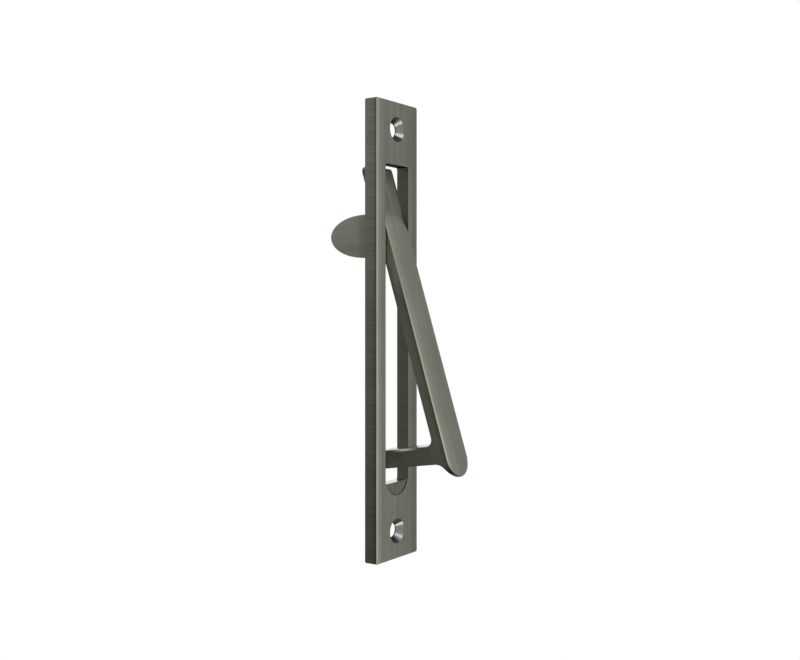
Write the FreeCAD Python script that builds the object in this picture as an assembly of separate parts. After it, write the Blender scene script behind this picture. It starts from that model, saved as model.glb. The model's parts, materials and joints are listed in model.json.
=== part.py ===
# Edge pull for a sliding door: a slotted faceplate with a lever that swings out of the slot.
# Millimetres. The origin is the middle of the plate's back face, where it seats on the door edge.
# X runs across the plate, +Y into the door and +Z up. The lever stands open, on its stop.
import FreeCAD, Part
import math
import os

from FreeCAD import Vector

# Faceplate
plate_width = 25.4
plate_height = 158.75
plate_thickness = 4.76
plate_corner_radius = 0.8
plate_front_round = 0.25
plate_back_round = 0.25

# Slot: its front opening is square at the top and half round at the bottom
slot_width = 14.0
slot_length = 115.0
slot_corner_radius = 0.6
ledge_height = 4.55
ledge_depth = 0.7

# Countersunk screw holes
screw_inset = 9.525
screw_hole_diameter = 4.8
countersink_diameter = 8.7
countersink_angle = 82.0

# A pocket in the plate's back thins it round each screw
screw_land = 2.65
relief_half_width = 6.6
relief_half_height = 4.6
relief_corner_radius = 2.4
relief_floor_round = 0.6

# Lever: a flat bar with a round tongue that thins to its tip, an arm behind it and a hub on the pin
open_angle = 17.3
lever_side_gap = 0.4
lever_top_gap = 3.2
lever_tip_gap = 1.05
lever_thickness = 3.95
lever_corner_radius = 2.6
lever_back_round = 0.5
lever_front_round = 0.25
tongue_tip_thickness = 0.9
tongue_angle = 19.5
tongue_fillet = 3.7

arm_angle = 9.0
arm_thickness = 6.15
arm_rise = 2.2
arm_reach = 26.1
arm_fillet = 2.4
arm_end_round = 1.2

# Hinge: lugs beside the slot, the pin through them, the hub on it and the stop under its heel
pivot_depth = 12.7
pivot_height = 33.5
pin_diameter = 3.5
pin_bore_clearance = 0.05
pin_seat_clearance = 0.02
pin_chamfer = 0.3
pin_end_gap = 0.2
hub_radius = 3.8
hub_root_half = 5.5
hub_fillet = 1.5
heel_half = 1.8
stop_gap = 0.1
web_clearance = 0.35
web_depth = 2.4
web_height = 2.2

lug_thickness = 3.5
lug_reach = 16.3
lug_height = 14.9
lug_nose = 14.4
lug_drop = 1.1
lug_round = 0.3
lug_skin = 1.2
lug_root_fillet = 0.8

# Places that follow from the sizes
front_y = -plate_thickness
slot_half = slot_width / 2
slot_top_z = slot_length / 2
through_bottom_z = ledge_height - slot_length / 2
screw_z = plate_height / 2 - screw_inset
relief_floor_y = -(plate_thickness - screw_land)

lever_half = slot_half - lever_side_gap
lever_back_y = front_y + lever_thickness
lever_top_z = slot_top_z - lever_top_gap
lever_top_rise = lever_thickness * math.tan(math.radians(open_angle))
lever_tip_z = lever_tip_gap - slot_length / 2
tip_centre_z = lever_tip_z + lever_half

pivot_y = pivot_depth + front_y
pin_radius = pin_diameter / 2
lug_z = pivot_height - lug_drop
lug_outer = slot_half + lug_thickness
web_front_y = pivot_y + hub_radius + web_clearance
web_top_z = pivot_height - heel_half - stop_gap

# Shut, the lever leans out by as much as its tongue is thicker than the ledge is deep
tongue_slope = math.tan(math.radians(tongue_angle))
tongue_on_ledge = tongue_tip_thickness + tongue_slope * (through_bottom_z - lever_tip_z)
shut_stand = tongue_on_ledge + stop_gap - ledge_depth
shut_angle = math.degrees(math.asin(shut_stand / (pivot_height - through_bottom_z)))

# The tools that cut or join run this far past the faces that they go through
overrun = 1.0
ACROSS = Vector(1, 0, 0)
pivot_point = Vector(0, pivot_y, pivot_height)


def side_point(y, z):
    return Vector(0, y, z)


def front_point(x, z):
    return Vector(x, 0, z)


def rounded_wire(corners, place):
    # A closed wire through (u, v, radius) corners, each with an arc tangent to its two sides.
    count = len(corners)
    arcs = []
    for index, (u, v, radius) in enumerate(corners):
        corner = place(u, v)
        before = place(*corners[index - 1][:2]) - corner
        after = place(*corners[(index + 1) % count][:2]) - corner
        before.normalize()
        after.normalize()
        half_angle = before.getAngle(after) / 2
        if radius == 0 or abs(half_angle - math.pi / 2) < 1e-6:
            arcs.append((corner, None, corner))
            continue
        tangent_length = radius / math.tan(half_angle)
        middle = before + after
        middle.normalize()
        crown = corner + middle * (radius / math.sin(half_angle) - radius)
        arcs.append((corner + before * tangent_length, crown, corner + after * tangent_length))
    edges = []
    for index, (start, crown, end) in enumerate(arcs):
        if crown is not None:
            edges.append(Part.Arc(start, crown, end).toShape())
        following = arcs[(index + 1) % count][0]
        if (following - end).Length > 1e-6:
            edges.append(Part.LineSegment(end, following).toShape())
    return Part.Wire(edges)


def prism(wire, start, length, direction):
    # The wire's face, moved to start along the direction and drawn out by the length.
    face = Part.Face(wire)
    face.translate(direction * start)
    return face.extrude(direction * length)


def front_prism(corners, back_y):
    # A front outline, drawn from ahead of the plate's face back to back_y.
    start = front_y - overrun
    return prism(rounded_wire(corners, front_point), start, back_y - start, Vector(0, 1, 0))


def across_prism(corners, half_width):
    return prism(rounded_wire(corners, side_point), -half_width, 2 * half_width, ACROSS)


def rectangle(half_width, low_z, high_z, low_radius, high_radius):
    # Corners of an upright outline. A low radius of half the width makes its foot half round.
    return [(-half_width, low_z, low_radius), (half_width, low_z, low_radius),
            (half_width, high_z, high_radius), (-half_width, high_z, high_radius)]


def across_cylinder(radius, left, right):
    return Part.makeCylinder(radius, right - left, Vector(left, pivot_y, pivot_height), ACROSS)


def edges_in_plane_y(shape, y):
    return [edge for edge in shape.Edges
            if abs(edge.BoundBox.YMin - y) < 1e-4 and abs(edge.BoundBox.YMax - y) < 1e-4]


def edges_along_x(shape, y, z):
    # The edges that run across the part at one place of its side profile.
    found = []
    for edge in shape.Edges:
        box = edge.BoundBox
        if box.YLength < 1e-4 and box.ZLength < 1e-4:
            if abs(box.YMin - y) < 1e-3 and abs(box.ZMin - z) < 1e-3:
                found.append(edge)
    return found


def plate_blank():
    outline = rectangle(plate_width / 2, -plate_height / 2, plate_height / 2,
                        plate_corner_radius, plate_corner_radius)
    wire = rounded_wire(outline, front_point)
    blank = prism(wire, front_y, plate_thickness, Vector(0, 1, 0))
    blank = blank.makeFillet(plate_front_round, edges_in_plane_y(blank, front_y))
    return blank.makeFillet(plate_back_round, edges_in_plane_y(blank, 0))


def slot_cutter():
    # The through slot is square at both ends. Below it the front layer ends in a half round,
    # which leaves a ledge for the lever's tongue.
    through = front_prism(rectangle(slot_half, through_bottom_z, slot_top_z,
                                    slot_corner_radius, slot_corner_radius), overrun)
    shallow = front_prism(rectangle(slot_half, -slot_top_z, slot_top_z,
                                    slot_half, slot_corner_radius), front_y + ledge_depth)
    return through.fuse(shallow)


def screw_cutter(z):
    # A countersunk hole: the cone is carried on to a point ahead of the face.
    hole_radius = screw_hole_diameter / 2
    sink_radius = countersink_diameter / 2
    slope = math.tan(math.radians(countersink_angle / 2))
    sink_depth = (sink_radius - hole_radius) / slope
    mouth_radius = sink_radius + overrun * slope
    start = Vector(0, front_y - overrun, z)
    cone = Part.makeCone(mouth_radius, hole_radius, sink_depth + overrun, start, Vector(0, 1, 0))
    shank = Part.makeCylinder(hole_radius, plate_thickness + 2 * overrun, start, Vector(0, 1, 0))
    return cone.fuse(shank)


def relief_cutter(z):
    # The pocket behind a screw hole, with a rounded floor.
    outline = rectangle(relief_half_width, z - relief_half_height, z + relief_half_height,
                        relief_corner_radius, relief_corner_radius)
    pocket = prism(rounded_wire(outline, front_point), relief_floor_y,
                   overrun - relief_floor_y, Vector(0, 1, 0))
    return pocket.makeFillet(relief_floor_round, edges_in_plane_y(pocket, relief_floor_y))


def lug(side):
    # A flat ear on the plate's back with a half-elliptic nose. It starts inside the plate.
    half_height = lug_height / 2
    nose_start = lug_reach - lug_nose
    low_root = side_point(-plate_thickness / 2, lug_z - half_height)
    low = side_point(nose_start, lug_z - half_height)
    high = side_point(nose_start, lug_z + half_height)
    high_root = side_point(-plate_thickness / 2, lug_z + half_height)
    centre = side_point(nose_start, lug_z)
    if lug_nose > half_height:
        ellipse = Part.Ellipse(side_point(lug_reach, lug_z), high, centre)
    else:
        ellipse = Part.Ellipse(high, side_point(lug_reach, lug_z), centre)
    start = ellipse.parameter(low)
    end = ellipse.parameter(high)
    nose = Part.ArcOfEllipse(ellipse, start, end)
    if nose.value((nose.FirstParameter + nose.LastParameter) / 2).y < nose_start:
        nose = Part.ArcOfEllipse(ellipse, end, start)
    edges = [Part.LineSegment(low_root, low).toShape(), nose.toShape(),
             Part.LineSegment(high, high_root).toShape(),
             Part.LineSegment(high_root, low_root).toShape()]
    wire = Part.Wire(Part.__sortEdges__(edges))
    inner = slot_half if side > 0 else -lug_outer
    ear = prism(wire, inner, lug_thickness, ACROSS)
    outer_x = side * lug_outer
    rim = [edge for edge in ear.Edges
           if abs(edge.BoundBox.XMin - outer_x) < 1e-4 and abs(edge.BoundBox.XMax - outer_x) < 1e-4
           and edge.BoundBox.YMax > 1e-4]
    return ear.makeFillet(lug_round, rim)


def stop_web():
    # The bar that ties the lugs together and stops the lever's heel.
    corners = [(web_front_y, web_top_z - web_height, lug_round),
               (web_front_y + web_depth, web_top_z - web_height, lug_round),
               (web_front_y + web_depth, web_top_z, lug_round / 2),
               (web_front_y, web_top_z, lug_round / 2)]
    return across_prism(corners, slot_half + lug_thickness / 2)


def lug_root_edges(shape):
    # Where the ears meet the plate's back: above, below and outside, but not in the slot.
    half_height = lug_height / 2
    found = []
    for edge in edges_in_plane_y(shape, 0):
        box = edge.BoundBox
        level = box.ZMin > lug_z - half_height - 1e-3 and box.ZMax < lug_z + half_height + 1e-3
        inside = max(abs(box.XMin), abs(box.XMax)) < lug_outer + 1e-3
        on_slot = box.XLength < 1e-4 and abs(abs(box.XMin) - slot_half) < 1e-3
        if level and inside and not on_slot:
            found.append(edge)
    return found


def make_faceplate():
    plate = plate_blank().cut([slot_cutter(), screw_cutter(screw_z), screw_cutter(-screw_z),
                               relief_cutter(screw_z), relief_cutter(-screw_z)])
    plate = plate.fuse([lug(-1), lug(1), stop_web()]).removeSplitter()
    plate = plate.makeFillet(lug_root_fillet, lug_root_edges(plate))
    # The pin's hole is blind on the left and open on the right.
    pin_hole = across_cylinder(pin_radius + pin_seat_clearance, lug_skin - lug_outer,
                               lug_outer + overrun)
    return plate.cut(pin_hole)


def lever_profile():
    # The lever from the side, flush in the plate: bar, arm and tongue, which the outline cuts to
    # its round tip. The top end is level when the lever is open.
    slope = math.tan(math.radians(arm_angle))
    arm_half = arm_thickness / 2 / math.cos(math.radians(arm_angle))
    arm_root_z = tip_centre_z + arm_rise
    arm_end_y = lever_back_y + arm_reach
    arm_end_z = arm_root_z + slope * arm_reach
    low_z = lever_tip_z - overrun
    tongue_low_y = front_y + tongue_tip_thickness - tongue_slope * overrun
    # The tongue's back and the arm's underside run to one corner.
    under_z = arm_root_z - arm_half + slope * (tongue_low_y - lever_back_y)
    corner_rise = (under_z - low_z) / (1 - slope * tongue_slope)
    return [(front_y, low_z, 0),
            (front_y, lever_top_z, 0),
            (lever_back_y, lever_top_z + lever_top_rise, lever_back_round),
            (lever_back_y, arm_root_z + arm_half, arm_fillet),
            (arm_end_y, arm_end_z + arm_half, arm_end_round),
            (arm_end_y, arm_end_z - arm_half, arm_end_round),
            (tongue_low_y + tongue_slope * corner_rise, low_z + corner_rise, tongue_fillet),
            (tongue_low_y, low_z, 0)]


def lever_outline():
    # The lever from the front: rounded corners above, half round at the tip.
    corners = rectangle(lever_half, lever_tip_z,
                        lever_top_z + lever_top_rise, lever_half, lever_corner_radius)
    return front_prism(corners, lever_back_y + arm_reach + overrun)


def hub_gusset():
    # The rib that runs from the bar to the hub, with flanks tangent to the hub.
    reach = pivot_y - lever_back_y
    span = math.hypot(reach, hub_root_half)
    lean = math.atan2(hub_root_half, reach) + math.acos(hub_radius / span)
    touch_y = pivot_y - hub_radius * math.cos(lean)
    touch_z = hub_radius * math.sin(lean)
    inner_y = lever_back_y - lever_thickness / 2
    corners = [(inner_y, pivot_height + hub_root_half, 0),
               (lever_back_y, pivot_height + hub_root_half, 0),
               (touch_y, pivot_height + touch_z, 0),
               (pivot_y, pivot_height, 0),
               (touch_y, pivot_height - touch_z, 0),
               (lever_back_y, pivot_height - hub_root_half, 0),
               (inner_y, pivot_height - hub_root_half, 0)]
    return across_prism(corners, lever_half)


def heel():
    # The flat-bottomed nose that lands on the web, drawn level, as it lies when the lever is open.
    end_y = web_front_y + web_depth
    corners = [(pivot_y, pivot_height - heel_half, 0),
               (end_y, pivot_height - heel_half, heel_half / 4),
               (end_y, pivot_height + heel_half, heel_half),
               (pivot_y, pivot_height + heel_half, 0)]
    return across_prism(corners, lever_half)


def make_lever():
    blade = across_prism(lever_profile(), lever_half + overrun).common(lever_outline())
    blade = blade.removeSplitter()
    blade = blade.makeFillet(lever_front_round, edges_in_plane_y(blade, front_y))
    hub = across_cylinder(hub_radius, -lever_half, lever_half)
    lever = blade.fuse([hub_gusset(), hub]).removeSplitter()
    roots = (edges_along_x(lever, lever_back_y, pivot_height + hub_root_half)
             + edges_along_x(lever, lever_back_y, pivot_height - hub_root_half))
    lever = lever.makeFillet(hub_fillet, roots)
    lever.rotate(pivot_point, ACROSS, -open_angle)
    lever = lever.fuse(heel()).removeSplitter()
    bore = across_cylinder(pin_radius + pin_bore_clearance, -lever_half - overrun,
                           lever_half + overrun)
    return lever.cut(bore)


def make_pin():
    pin = across_cylinder(pin_radius, lug_skin - lug_outer + pin_end_gap, lug_outer)
    rims = [edge for edge in pin.Edges if edge.BoundBox.XLength < 1e-4]
    return pin.makeChamfer(pin_chamfer, rims)


def write_part(name, shape):
    solid = shape.Solids[0]
    print(name, "solids", len(shape.Solids), "valid", solid.isValid(),
          "volume", round(solid.Volume, 1), "faces", len(solid.Faces))
    solid.exportStep("parts/" + name + ".step")


os.makedirs("parts", exist_ok=True)
write_part("faceplate", make_faceplate())
write_part("pull_lever", make_lever())
write_part("pivot_pin", make_pin())
print("lever travel", round(open_angle - shut_angle, 2), "degrees")
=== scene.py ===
import json
import math
import bmesh
import bpy
from mathutils import Matrix, Vector


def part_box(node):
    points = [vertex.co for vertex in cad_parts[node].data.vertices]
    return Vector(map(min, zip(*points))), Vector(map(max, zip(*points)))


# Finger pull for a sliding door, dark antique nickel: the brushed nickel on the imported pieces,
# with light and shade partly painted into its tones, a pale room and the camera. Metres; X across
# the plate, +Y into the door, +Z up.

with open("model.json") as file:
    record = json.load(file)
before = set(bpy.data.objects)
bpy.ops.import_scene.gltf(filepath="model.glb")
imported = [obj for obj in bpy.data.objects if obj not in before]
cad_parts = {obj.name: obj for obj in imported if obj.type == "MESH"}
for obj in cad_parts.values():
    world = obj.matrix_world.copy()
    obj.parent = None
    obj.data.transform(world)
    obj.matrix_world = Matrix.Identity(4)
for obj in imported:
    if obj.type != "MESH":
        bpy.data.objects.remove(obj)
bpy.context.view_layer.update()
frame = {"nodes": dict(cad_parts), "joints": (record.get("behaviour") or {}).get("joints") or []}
hinge = frame["joints"][0]
plateLow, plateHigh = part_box("faceplate")


# Shader nodes

def newMaterial(name):
    material = bpy.data.materials.new(name)
    material.use_nodes = True
    return material, material.node_tree, material.node_tree.nodes["Principled BSDF"]


def addNode(tree, kind, inputs=None, **settings):
    node = tree.nodes.new(kind)
    for key, value in settings.items():
        setattr(node, key, value)
    for key, value in (inputs or {}).items():
        if isinstance(value, bpy.types.NodeSocket):
            tree.links.new(value, node.inputs[key])
        else:
            node.inputs[key].default_value = value
    return node


def doMath(tree, operation, first, second=0.0, third=0.0):
    return addNode(tree, "ShaderNodeMath", {0: first, 1: second, 2: third},
                   operation=operation).outputs[0]


def fade(tree, value, start, end, low=0.0, high=1.0, smooth=True):
    # low at start, high at end
    kind = "SMOOTHSTEP" if smooth else "LINEAR"
    return addNode(tree, "ShaderNodeMapRange", {0: value, 1: start, 2: end, 3: low, 4: high},
                   interpolation_type=kind).outputs[0]


def within(tree, value, low, high, soft):
    # 1 between low and high
    rise = fade(tree, value, low - soft, low + soft)
    return doMath(tree, "MULTIPLY", rise, fade(tree, value, high + soft, high - soft))


def allOf(tree, *masks):
    # Their product
    result = masks[0]
    for mask in masks[1:]:
        result = doMath(tree, "MULTIPLY", result, mask)
    return result


def layOver(tree, below, above, mask):
    return addNode(tree, "ShaderNodeMix", {0: mask, 2: below, 3: above}).outputs[0]


def splitVector(tree, vector):
    return addNode(tree, "ShaderNodeSeparateXYZ", {0: vector}).outputs[:3]


def distance(tree, first, second):
    squared = doMath(tree, "MULTIPLY", second, second)
    return doMath(tree, "SQRT", doMath(tree, "MULTIPLY_ADD", first, first, squared))


def surfacePlaces(tree, turn=0.0):
    # Object coordinates and normal. The lever's are turned upright, so that its bar lies along Z.
    source = tree.nodes.new("ShaderNodeTexCoord")
    place, normal = source.outputs["Object"], source.outputs["Normal"]
    if turn:
        centre = Vector(hinge["pos_m"])
        shift = centre - Matrix.Rotation(turn, 3, "X") @ centre
        place = addNode(tree, "ShaderNodeMapping", {
            "Vector": place, "Rotation": (turn, 0, 0), "Location": shift}).outputs[0]
        normal = addNode(tree, "ShaderNodeMapping", {
            "Vector": normal, "Rotation": (turn, 0, 0)}, vector_type="VECTOR").outputs[0]
    return place, normal


# Brushed nickel

brush = {
    "fineWidth": 0.00042,
    "fineDepth": 0.26,                # change of tone
    "fineDetail": 2.0,
    "broadWidth": 0.0015,
    "broadDepth": 0.20,
    "broadDetail": 1.0,
    "cloudWidth": 0.014,
    "cloudDepth": 0.16,
    "cloudDetail": 3.0,
    "length": 0.032,                  # of a brush line
    "unevenness": 0.6,
    "scratchHeight": 0.0000045,
    "roughness": 0.36,
    "roughnessSpread": 0.16,
    "tint": (1.0, 1.045, 0.825),
}


def noise(tree, place, kind):
    return addNode(tree, "ShaderNodeTexNoise", {
        "Vector": place, "Scale": 1 / brush[kind + "Width"], "Detail": brush[kind + "Detail"],
        "Roughness": brush["unevenness"]}).outputs[0]


def grainPlaces(tree, place, level, end):
    # Drawn out along Z, along Y where level is 1, and along X where end is 1
    squeeze = brush["fineWidth"] / brush["length"]
    stretch = (1, 1, squeeze)
    for mask, other in ((level, (1, squeeze, 1)), (end, (squeeze, 1, 1))):
        stretch = addNode(tree, "ShaderNodeMix", {0: mask, 4: stretch, 5: other},
                          data_type="VECTOR").outputs[1]
    return addNode(tree, "ShaderNodeVectorMath", {0: place, 1: stretch},
                   operation="MULTIPLY").outputs[0]


def finishMetal(tree, shader, place, tone, roughness, edgeHeight, level, end, tint=brush["tint"]):
    # Grain, clouds, roughness and bump, over a tone that holds the metal's own darkness and the
    # light and shade painted into it
    grain = grainPlaces(tree, place, level, end)
    fine = noise(tree, grain, "fine")
    change = 1.0
    for kind, pattern in (("fine", fine), ("broad", noise(tree, grain, "broad")),
                          ("cloud", noise(tree, place, "cloud"))):
        centred = doMath(tree, "SUBTRACT", pattern, 0.5)
        change = doMath(tree, "MULTIPLY_ADD", centred, 2 * brush[kind + "Depth"], change)
    tone = doMath(tree, "MULTIPLY", tone, change)
    colour = addNode(tree, "ShaderNodeVectorMath", {0: tint, "Scale": tone},
                     operation="SCALE").outputs[0]
    spread = doMath(tree, "MULTIPLY", doMath(tree, "SUBTRACT", fine, 0.5), brush["roughnessSpread"])
    height = doMath(tree, "MULTIPLY_ADD", fine, brush["scratchHeight"], edgeHeight)
    bump = addNode(tree, "ShaderNodeBump", {"Strength": 1.0, "Distance": 1.0, "Height": height})
    tree.links.new(colour, shader.inputs["Base Color"])
    tree.links.new(doMath(tree, "ADD", spread, roughness), shader.inputs["Roughness"])
    tree.links.new(bump.outputs[0], shader.inputs["Normal"])
    shader.inputs["Metallic"].default_value = 1.0


def softEdges(tree, x, flatHalf, rise):
    # Brushing rounds a flat face off towards its long edges
    fromFlat = doMath(tree, "SUBTRACT", doMath(tree, "ABSOLUTE", x), flatHalf)
    beyond = doMath(tree, "MAXIMUM", fromFlat)
    return allOf(tree, beyond, beyond, -rise)


def edgeChange(tree, fromEdge, height, reach):
    # 1 + height at an edge, back to 1 over a few times the reach
    steps = doMath(tree, "DIVIDE", doMath(tree, "MAXIMUM", fromEdge), -reach)
    return doMath(tree, "MULTIPLY_ADD", doMath(tree, "EXPONENT", steps), height, 1.0)


facing = {                            # parts of a normal, where a mask is 0 and where it is 1
    "straight": (0.80, 0.92),
    "nearlyFlat": (0.80, 0.95),
    "level": (0.96, 0.99),
    "leaning": (0.4, 0.6),
    "down": (-0.5, -0.9),
    "underneath": (-0.2, -0.6),
    "rearward": (0.1, 0.5),
    "frontward": (0.0, -0.1),
    "leftToFront": (-0.3, 0.0),
    "across": (-0.3, -0.1),
    "rounded": (0.06, 0.2),
}
hair = 0.0001                         # softness of a painted border


def roundedEdges(tree, nx, ny, nz):
    # 1 on the fillets round a front face, 0 on the flats
    across = doMath(tree, "ADD", doMath(tree, "MULTIPLY", nx, nx), doMath(tree, "MULTIPLY", nz, nz))
    turned = allOf(tree, across, ny, ny)
    return allOf(tree, fade(tree, turned, *facing["rounded"]), fade(tree, ny, *facing["frontward"]))


# Faceplate

plateFinishAndPaintedLight = {
    "front": (0.158, 0.120),          # tone at the left and the right: painted shading, lighter at the left
    "frontGlow": 1.44,                # painted highlight, at the left edge
    "glowFrom": -0.0084,
    "frontPaintedShade": 0.75,               # painted shade, at the right edge
    "shadeFrom": 0.0080,
    "paintedGlint": (2.5, 0.00050),          # painted highlight: height and reach, along the left edge
    "rim": 0.05,                      # painted shade: a dark line just outside the highlight
    "rimWidth": (0.00038, 0.00018),
    "edge": 0.06,                     # painted shade on the rounded edges
    "slotGlint": (0.30, 0.00070),     # painted highlight, right of the slot
    "slotShade": (-0.14, 0.00050),    # painted shade, left of it
    "slotFadeZ": (-0.0560, -0.0530),  # both fade out here, round the slot's foot
    "side": (0.120, 0.074, 0.046),    # painted shade, darker than the front: top, middle and bottom
    # painted shade, darker towards the front edge
    "sideFront": 0.94,
    "sideRear": 1.08,
    "sideShade": (-0.62, 0.00060),    # painted shade along the front edge
    "back": 0.12,
    # painted shade on the slot's walls
    "slotWall": 0.060,
    # painted shade, nearly black, on the slot's downward face
    "slotTop": 0.004,
    "slotTopRoughness": 0.9,
    "ledge": 0.146,
    "ledgeLeft": (-0.20, 0.00100),    # painted shade on the left half: height and reach, along its outline
    # painted light on the right half, along its outline
    "ledgeRight": (1.8, 0.00055),
    "ledgeRoughness": 0.75,
    # painted highlight on the ledge's level top
    "ledgeTop": 0.60,
    "ledgeTopRoughness": 0.08,
    # painted shade: the lug is darker lower down and beside the plate
    "lug": (0.170, 0.130),
    "lugZ": (0.0397, 0.0251),
    "lugRoot": 0.74,                  # painted shade beside the plate
    "lugRootY": (0.0022, 0.0056),
    "countersink": 0.20,
    "countersinkTint": (1.0, 1.01, 0.93),
    "countersinkRoughness": 0.20,
    # painted shade on two parts of the cone
    "countersinkDark": 0.042,
    "darkOutside": (-0.66, -0.72),    # where the cone faces the plate's middle
    "darkInside": (0.47, 0.53),       # and where it faces the plate's end
    "land": 0.02,                     # painted shade, nearly black, on the wall of the hole under the countersink
    "flatHalf": 0.0107,               # the front is flat within this
    "edgeRise": 50.0,                 # and falls off beyond it
}

plateShape = {
    "slotHalf": 0.0070,
    "slotTopZ": 0.0575,
    "slotFootZ": -0.0577,
    "slotRoundZ": -0.0507,            # centre of the foot's half circle
    "ledgeTopZ": -0.05295,
    "ledgeY": -0.00406,
    "screwZ": 0.06985,
    "sinkRadius": 0.00435,
}


def makePlateMaterial():
    finishAndLight, shape = plateFinishAndPaintedLight, plateShape
    material, tree, shader = newMaterial("antiqueNickelPlate")
    place, normal = surfacePlaces(tree)
    x, y, z = splitVector(tree, place)
    nx, ny, nz = splitVector(tree, normal)
    side = fade(tree, doMath(tree, "ABSOLUTE", nx), *facing["straight"])
    end = fade(tree, doMath(tree, "ABSOLUTE", nz), *facing["straight"])
    leftX, frontY, bottomZ = plateLow
    rightX, _, topZ = plateHigh

    slotHalf, slotTopZ = shape["slotHalf"], shape["slotTopZ"]
    # Front: painted shading from left to right, painted highlights along the left edge and right of
    # the slot, painted shade at the right edge and left of the slot
    besideSlot = allOf(tree, fade(tree, z, *finishAndLight["slotFadeZ"]),
                       fade(tree, z, slotTopZ + hair, slotTopZ - hair))
    rightOfSlot = allOf(tree, besideSlot, fade(tree, x, 0.0, 10 * hair))
    leftOfSlot = allOf(tree, besideSlot, fade(tree, x, 0.0, -10 * hair))
    inFoot = doMath(tree, "MINIMUM", doMath(tree, "SUBTRACT", z, shape["slotRoundZ"]))
    fromSlot = doMath(tree, "SUBTRACT", distance(tree, x, inFoot), slotHalf)
    tone = allOf(tree, fade(tree, x, leftX, rightX, *finishAndLight["front"], smooth=False),
                 fade(tree, x, finishAndLight["glowFrom"], leftX, 1.0, finishAndLight["frontGlow"], smooth=False),
                 fade(tree, x, finishAndLight["shadeFrom"], rightX, 1.0, finishAndLight["frontPaintedShade"]),
                 edgeChange(tree, doMath(tree, "SUBTRACT", x, leftX), *finishAndLight["paintedGlint"]),
                 layOver(tree, 1.0, edgeChange(tree, fromSlot, *finishAndLight["slotGlint"]), rightOfSlot),
                 layOver(tree, 1.0, edgeChange(tree, fromSlot, *finishAndLight["slotShade"]), leftOfSlot))
    # A painted dark line along the left edge, and painted shade on the rounded edges
    rimStart, rimEnd = finishAndLight["rimWidth"]
    tone = layOver(tree, tone, finishAndLight["rim"], fade(tree, x, leftX + rimStart, leftX + rimEnd))
    tone = layOver(tree, tone, finishAndLight["edge"], roundedEdges(tree, nx, ny, nz))

    # Sides: painted shade, darker towards the bottom and the front edge
    top, middle, bottom = finishAndLight["side"]
    sideTone = layOver(tree, fade(tree, z, topZ, 0.0, top, middle, smooth=False),
                       fade(tree, z, 0.0, bottomZ, middle, bottom, smooth=False),
                       fade(tree, z, hair, -hair))
    frontToRear = fade(tree, y, frontY, 0.0, finishAndLight["sideFront"], finishAndLight["sideRear"], smooth=False)
    fromFront = doMath(tree, "SUBTRACT", y, frontY)
    sideTone = allOf(tree, sideTone, frontToRear, edgeChange(tree, fromFront, *finishAndLight["sideShade"]))
    tone = layOver(tree, tone, sideTone, doMath(tree, "MAXIMUM", side, end))

    inSlot = allOf(tree, within(tree, x, -slotHalf - hair, slotHalf + hair, hair / 5),
                   within(tree, z, shape["slotFootZ"], slotTopZ + hair, hair / 5),
                   fade(tree, y, frontY + hair / 2, frontY + hair))
    # Painted shade on the slot's walls and its downward face
    tone = layOver(tree, tone, finishAndLight["slotWall"], inSlot)
    slotTop = allOf(tree, inSlot, fade(tree, nz, *facing["down"]))
    tone = layOver(tree, tone, finishAndLight["slotTop"], slotTop)
    ledgeTopZ, ledgeY = shape["ledgeTopZ"], shape["ledgeY"]
    ledge = allOf(tree, inSlot, fade(tree, z, ledgeTopZ + 3 * hair, ledgeTopZ + hair),
                  within(tree, y, ledgeY - 2 * hair, ledgeY + 2 * hair, hair / 2))
    # Ledge: painted shade on the left half and painted light on the right half of its outline
    toOutline = doMath(tree, "MULTIPLY", fromSlot, -1.0)
    ledgeTone = layOver(tree, edgeChange(tree, toOutline, *finishAndLight["ledgeLeft"]),
                        edgeChange(tree, toOutline, *finishAndLight["ledgeRight"]),
                        fade(tree, x, -10 * hair, 10 * hair))
    tone = layOver(tree, tone, doMath(tree, "MULTIPLY", ledgeTone, finishAndLight["ledge"]), ledge)
    # Painted highlight on the ledge's level top
    ledgeTop = allOf(tree, inSlot, fade(tree, nz, *facing["level"]),
                     fade(tree, z, ledgeTopZ + 5 * hair, ledgeTopZ + 2 * hair),
                     fade(tree, z, ledgeTopZ - 5 * hair, ledgeTopZ - 2 * hair))
    tone = layOver(tree, tone, finishAndLight["ledgeTop"], ledgeTop)

    # Lug: painted shade, darker lower down and beside the plate
    lugTone = allOf(tree, fade(tree, z, *finishAndLight["lugZ"], *finishAndLight["lug"]),
                    fade(tree, y, *finishAndLight["lugRootY"], finishAndLight["lugRoot"], 1.0))
    tone = layOver(tree, tone, lugTone, fade(tree, y, 0.0, 3 * hair))
    tone = layOver(tree, tone, finishAndLight["back"], fade(tree, ny, *facing["nearlyFlat"]))

    fromScrew = doMath(tree, "SUBTRACT", doMath(tree, "ABSOLUTE", z), shape["screwZ"])
    sinkRadius = shape["sinkRadius"]
    sink = allOf(tree, fade(tree, distance(tree, x, fromScrew),
                            sinkRadius + 0.3 * hair, sinkRadius - 0.1 * hair),
                 fade(tree, y, frontY + 0.1 * hair, frontY + 0.6 * hair))
    # Countersinks: painted shade where the cone faces the plate's middle and its end
    outward = doMath(tree, "MULTIPLY", nz, doMath(tree, "SIGN", z))
    darkSink = doMath(tree, "MAXIMUM", fade(tree, outward, *finishAndLight["darkOutside"]),
                      fade(tree, outward, *finishAndLight["darkInside"]))
    sinkTone = layOver(tree, finishAndLight["countersink"], finishAndLight["countersinkDark"], darkSink)
    tone = layOver(tree, tone, sinkTone, sink)
    # Painted shade in the hole under the countersink
    tone = layOver(tree, tone, finishAndLight["land"], allOf(tree, sink, fade(tree, ny, *facing["across"])))

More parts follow.
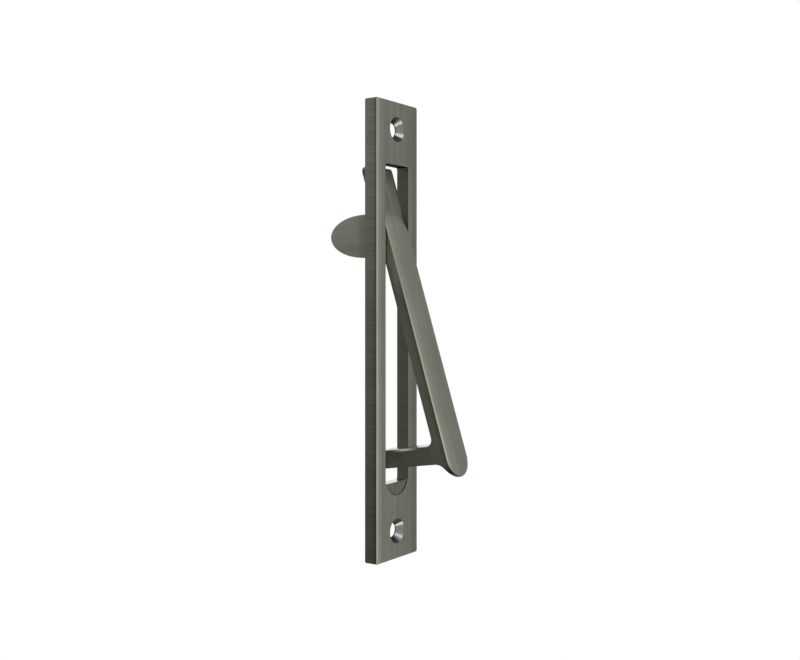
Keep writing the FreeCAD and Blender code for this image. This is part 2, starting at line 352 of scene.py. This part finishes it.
    roughness = brush["roughness"]
    for name, mask in (("countersink", sink), ("ledge", ledge), ("slotTop", slotTop),
                       ("ledgeTop", ledgeTop)):
        roughness = layOver(tree, roughness, finishAndLight[name + "Roughness"], mask)
    tint = addNode(tree, "ShaderNodeMix", {0: sink, 4: brush["tint"], 5: finishAndLight["countersinkTint"]},
                   data_type="VECTOR").outputs[1]
    level = doMath(tree, "MAXIMUM", side,
                   fade(tree, doMath(tree, "ABSOLUTE", nx), *facing["leaning"]))
    finishMetal(tree, shader, place, tone, roughness,
                softEdges(tree, x, finishAndLight["flatHalf"], finishAndLight["edgeRise"]), level, end, tint)
    return material


# Lever, on the coordinates that stand it upright

leverFinishAndPaintedLight = {
    "front": (0.184, 0.136),          # tone at the left and the right: painted shading, lighter at the left
    "frontTop": 1.04,                 # painted light at the end inside the slot
    "frontNeck": 0.94,                # painted shade just below it
    "frontTopZ": (0.048, 0.041),
    "frontNeckZ": (0.038, 0.031),
    "inSlot": (0.80, 1.6),            # painted shade at the left and painted light at the right, beside the slot's walls
    "inSlotZ": (0.033, 0.042),
    "frontPaintedShade": 0.82,               # painted shade, at the right edge
    "shadeWidth": 0.0018,
    "paintedGlint": (1.7, 0.00080),          # painted highlight: height and reach, along the left edge
    "glintTop": 0.5,
    "glintZ": (0.035, -0.020),
    "edge": (0.14, 0.08),             # painted shade on the rounded edges, left and right
    "rear": 0.10,
    "side": (0.088, 0.066),           # painted shade, darker than the front: top and foot of the bar
    "sideShade": (-0.60, 0.00090),    # painted shade along the front edge
    "sideInPlate": 5.4,               # painted light where the open lever passes through the slot
    "sideInPlateZ": (0.005, 0.030),
    "sideInPlateTopZ": (0.042, 0.037),
    # painted shade underneath, and on the arm's sides
    "under": 0.012,
    "arm": 0.056,
    # painted light towards the arm's end
    "armEnd": 2.4,
    "armEndY": (0.0130, 0.0185),
    "armEndRoughness": 0.7,
    # painted highlight on the arm's top face
    "armTop": 0.42,
    "armTopRoughness": 0.22,
    "paintedStreak": 0.42,                   # painted highlight: a bright line along the arm's top edge
    "paintedStreakDepth": (0.0009, 0.0005),
    "paintedStreakY": (0.0078, 0.0140, 0.0034),   # from, to, and how soft
    "topRoughness": 0.75,
    "topRoughnessZ": (0.034, 0.040),
    "flatHalf": 0.0050,               # the front is flat within this
    "edgeRise": 60.0,                 # and falls off beyond it
}

leverShape = {
    "lean": 17.3,                     # degrees, as the lever stands
    "half": 0.0066,
    "frontY": -0.00476,
    "topZ": 0.055,
    "footZ": -0.057,
    "armRootY": -0.0002,
    "armRootZ": -0.030,
    "armTopLine": (-0.04441, 0.1584),      # height at y = 0, and slope
}


def makeLeverMaterial():
    finishAndLight, shape = leverFinishAndPaintedLight, leverShape
    half, armRootY, armRootZ = shape["half"], shape["armRootY"], shape["armRootZ"]
    material, tree, shader = newMaterial("antiqueNickelLever")
    place, normal = surfacePlaces(tree, math.radians(shape["lean"]))
    x, y, z = splitVector(tree, place)
    nx, ny, nz = splitVector(tree, normal)
    side = fade(tree, doMath(tree, "ABSOLUTE", nx), *facing["straight"])
    end = fade(tree, nz, *facing["straight"])
    onArm = allOf(tree, fade(tree, y, armRootY, armRootY + 0.002),
                  fade(tree, z, armRootZ + 0.004, armRootZ))
    onBar = fade(tree, y, armRootY + 0.001, armRootY)

    # Front: painted shading from left to right, painted light and shade in the slot, painted shade
    # at the right edge and a painted highlight along the left edge
    glintHeight, glintReach = finishAndLight["paintedGlint"]
    glintHeight = fade(tree, z, *finishAndLight["glintZ"], finishAndLight["glintTop"] * glintHeight, glintHeight)
    topTone = fade(tree, z, *finishAndLight["frontTopZ"], finishAndLight["frontTop"], finishAndLight["frontNeck"])
    tone = allOf(tree, fade(tree, x, -half, half, *finishAndLight["front"], smooth=False),
                 layOver(tree, topTone, 1.0, fade(tree, z, *finishAndLight["frontNeckZ"])),
                 layOver(tree, 1.0, fade(tree, x, -half, half, *finishAndLight["inSlot"], smooth=False),
                         fade(tree, z, *finishAndLight["inSlotZ"])),
                 fade(tree, x, half - finishAndLight["shadeWidth"], half, 1.0, finishAndLight["frontPaintedShade"]),
                 edgeChange(tree, doMath(tree, "ADD", x, half), glintHeight, glintReach))
    tone = layOver(tree, tone, finishAndLight["rear"], fade(tree, ny, *facing["rearward"]))
    # Painted shade on the rounded edges
    edgeTone = fade(tree, nx, *facing["leftToFront"], *finishAndLight["edge"])
    tone = layOver(tree, tone, edgeTone, roundedEdges(tree, nx, ny, nz))

    # Sides: painted shade, darker towards the foot and the front edge, lighter where the bar passes
    # through the slot
    sideTone = fade(tree, z, shape["topZ"], shape["footZ"], *finishAndLight["side"], smooth=False)
    inPlate = layOver(tree, 1.0, fade(tree, z, *finishAndLight["sideInPlateZ"], 1.0, finishAndLight["sideInPlate"]),
                      allOf(tree, onBar, fade(tree, z, *finishAndLight["sideInPlateTopZ"])))
    sideTone = layOver(tree, allOf(tree, sideTone, inPlate), finishAndLight["arm"], onArm)
    fromFront = doMath(tree, "SUBTRACT", y, shape["frontY"])
    sideTone = allOf(tree, sideTone, edgeChange(tree, fromFront, *finishAndLight["sideShade"]))
    tone = layOver(tree, tone, sideTone, side)

    # Painted light towards the arm's end, painted shade underneath
    armEnd = allOf(tree, onArm, fade(tree, y, *finishAndLight["armEndY"]))
    tone = allOf(tree, tone, layOver(tree, 1.0, finishAndLight["armEnd"], armEnd))
    tone = layOver(tree, tone, finishAndLight["under"], fade(tree, nz, *facing["underneath"]))
    # Painted highlight along the arm's top edge and on its top face
    lineHeight, lineSlope = shape["armTopLine"]
    belowTop = doMath(tree, "SUBTRACT", doMath(tree, "MULTIPLY_ADD", y, lineSlope, lineHeight), z)
    paintedStreak = allOf(tree, onArm, side, fade(tree, belowTop, *finishAndLight["paintedStreakDepth"]),
                   within(tree, y, *finishAndLight["paintedStreakY"]))
    tone = layOver(tree, tone, finishAndLight["paintedStreak"], paintedStreak)
    armTop = allOf(tree, fade(tree, nz, *facing["nearlyFlat"]), onArm)
    tone = layOver(tree, tone, finishAndLight["armTop"], armTop)

    inTop = fade(tree, z, *finishAndLight["topRoughnessZ"])
    roughness = brush["roughness"]
    for name, mask in (("top", inTop), ("armEnd", armEnd), ("armTop", armTop)):
        roughness = layOver(tree, roughness, finishAndLight[name + "Roughness"], mask)
    finishMetal(tree, shader, place, tone, roughness,
                softEdges(tree, x, finishAndLight["flatHalf"], finishAndLight["edgeRise"]), onArm, end)
    return material


# Hinge pin

pinFinish = {
    "tone": 0.17,
    "roughness": 0.28,
}


def makePinMaterial():
    material, tree, shader = newMaterial("turnedPin")
    place, _ = surfacePlaces(tree)
    finishMetal(tree, shader, place, pinFinish["tone"], pinFinish["roughness"], 0.0, 1.0, 0.0)
    return material


finishes = {"faceplate": makePlateMaterial(), "pull_lever": makeLeverMaterial(),
            "pivot_pin": makePinMaterial()}
for name, material in finishes.items():
    node = frame["nodes"][name]
    node.data.materials.clear()
    node.data.materials.append(material)
frame["nodes"]["pull_lever"].visible_glossy = False   # the brushed plate doesn't mirror the lever
print("finishes on", sorted(finishes))


# Room and light

room = {
    "floorDrop": 1.80,
    "floorHalf": 8.0,
    "floorColour": (0.9, 0.9, 0.9, 1.0),
    "floorRoughness": 0.9,
    "floorFade": (0.30, 0.75),        # the floor turns into the white backdrop between these radii
    "fill": 0.75,
    "white": (1.0, 1.0, 1.0, 1.0),
}


def seenRays(tree):
    # 1 for the rays that show the backdrop: camera, glossy and transmission
    path = tree.nodes.new("ShaderNodeLightPath")
    seen = doMath(tree, "MAXIMUM", path.outputs["Is Camera Ray"], path.outputs["Is Glossy Ray"])
    return doMath(tree, "MAXIMUM", seen, path.outputs["Is Transmission Ray"])


def makeFloor():
    mesh = bpy.data.meshes.new("floor")
    bm = bmesh.new()
    bmesh.ops.create_grid(bm, x_segments=1, y_segments=1, size=room["floorHalf"])
    bmesh.ops.translate(bm, vec=(0, 0, -room["floorDrop"]), verts=bm.verts)
    bm.to_mesh(mesh)
    bm.free()
    floor = bpy.data.objects.new("floor", mesh)
    bpy.context.collection.objects.link(floor)
    material, tree, shader = newMaterial("paleFloor")
    shader.inputs["Base Color"].default_value = room["floorColour"]
    shader.inputs["Roughness"].default_value = room["floorRoughness"]
    x, y, _ = splitVector(tree, tree.nodes.new("ShaderNodeTexCoord").outputs["Object"])
    far = fade(tree, distance(tree, x, y), *room["floorFade"])
    white = addNode(tree, "ShaderNodeEmission", {"Color": room["white"], "Strength": 1.0})
    mix = addNode(tree, "ShaderNodeMixShader", {
        0: doMath(tree, "MULTIPLY", far, seenRays(tree)),
        1: shader.outputs[0], 2: white.outputs[0]})
    tree.links.new(mix.outputs[0], tree.nodes["Material Output"].inputs["Surface"])
    mesh.materials.append(material)


def makeWorld():
    world = bpy.data.worlds.new("room")
    bpy.context.scene.world = world
    world.use_nodes = True
    tree = world.node_tree
    fill = tree.nodes["Background"]
    fill.inputs["Color"].default_value = room["white"]
    fill.inputs["Strength"].default_value = room["fill"]
    backdrop = addNode(tree, "ShaderNodeBackground", {"Color": room["white"], "Strength": 1.0})
    mix = addNode(tree, "ShaderNodeMixShader", {
        0: seenRays(tree), 1: fill.outputs[0], 2: backdrop.outputs[0]})
    tree.links.new(mix.outputs[0], tree.nodes["World Output"].inputs["Surface"])


lamps = {
    "front": {"place": (-0.22, -0.85, 0.16), "size": 0.40, "radiance": 1.5},
    "key": {"place": (-0.66, -1.34, 1.60), "size": 1.0, "radiance": 2.3},
    "low": {"place": (-0.28, -1.04, -1.56), "size": 0.80, "radiance": 2.7},
}


def makeLamp(name, settings):
    data = bpy.data.lights.new(name, "AREA")
    data.shape = "SQUARE"
    data.size = settings["size"]
    data.energy = settings["radiance"] * math.pi * settings["size"] ** 2
    lamp = bpy.data.objects.new(name, data)
    lamp.location = settings["place"]
    lamp.rotation_euler = (-Vector(settings["place"])).to_track_quat("-Z", "Y").to_euler()
    lamp.visible_camera = False
    bpy.context.collection.objects.link(lamp)


# Camera, at the photograph's angle

camera = {
    "place": (-0.30897, -0.21369, 0.00756),
    "yaw": 33.888,                    # degrees, from +X
    "focalPixels": 1071.0,
    "horizonRow": 308.0,
    "imageSize": (800, 660),
    "sensor": 36.0,                   # millimetres
    "clipStart": 0.01,
}


def makeCamera():
    width, height = camera["imageSize"]
    data = bpy.data.cameras.new("camera")
    data.sensor_width = camera["sensor"]
    data.lens = camera["focalPixels"] * camera["sensor"] / width
    data.shift_x = -0.5 / width
    data.shift_y = -((height - 1) / 2 - camera["horizonRow"]) / width
    data.clip_start = camera["clipStart"]
    obj = bpy.data.objects.new("camera", data)
    obj.location = camera["place"]
    obj.rotation_euler = (math.radians(90), 0, math.radians(camera["yaw"] - 90))
    bpy.context.collection.objects.link(obj)
    bpy.context.scene.camera = obj


makeFloor()
makeWorld()
for name, settings in lamps.items():
    makeLamp(name, settings)
makeCamera()
bpy.context.scene.view_settings.view_transform = "Standard"
print("room, lamps and camera made")
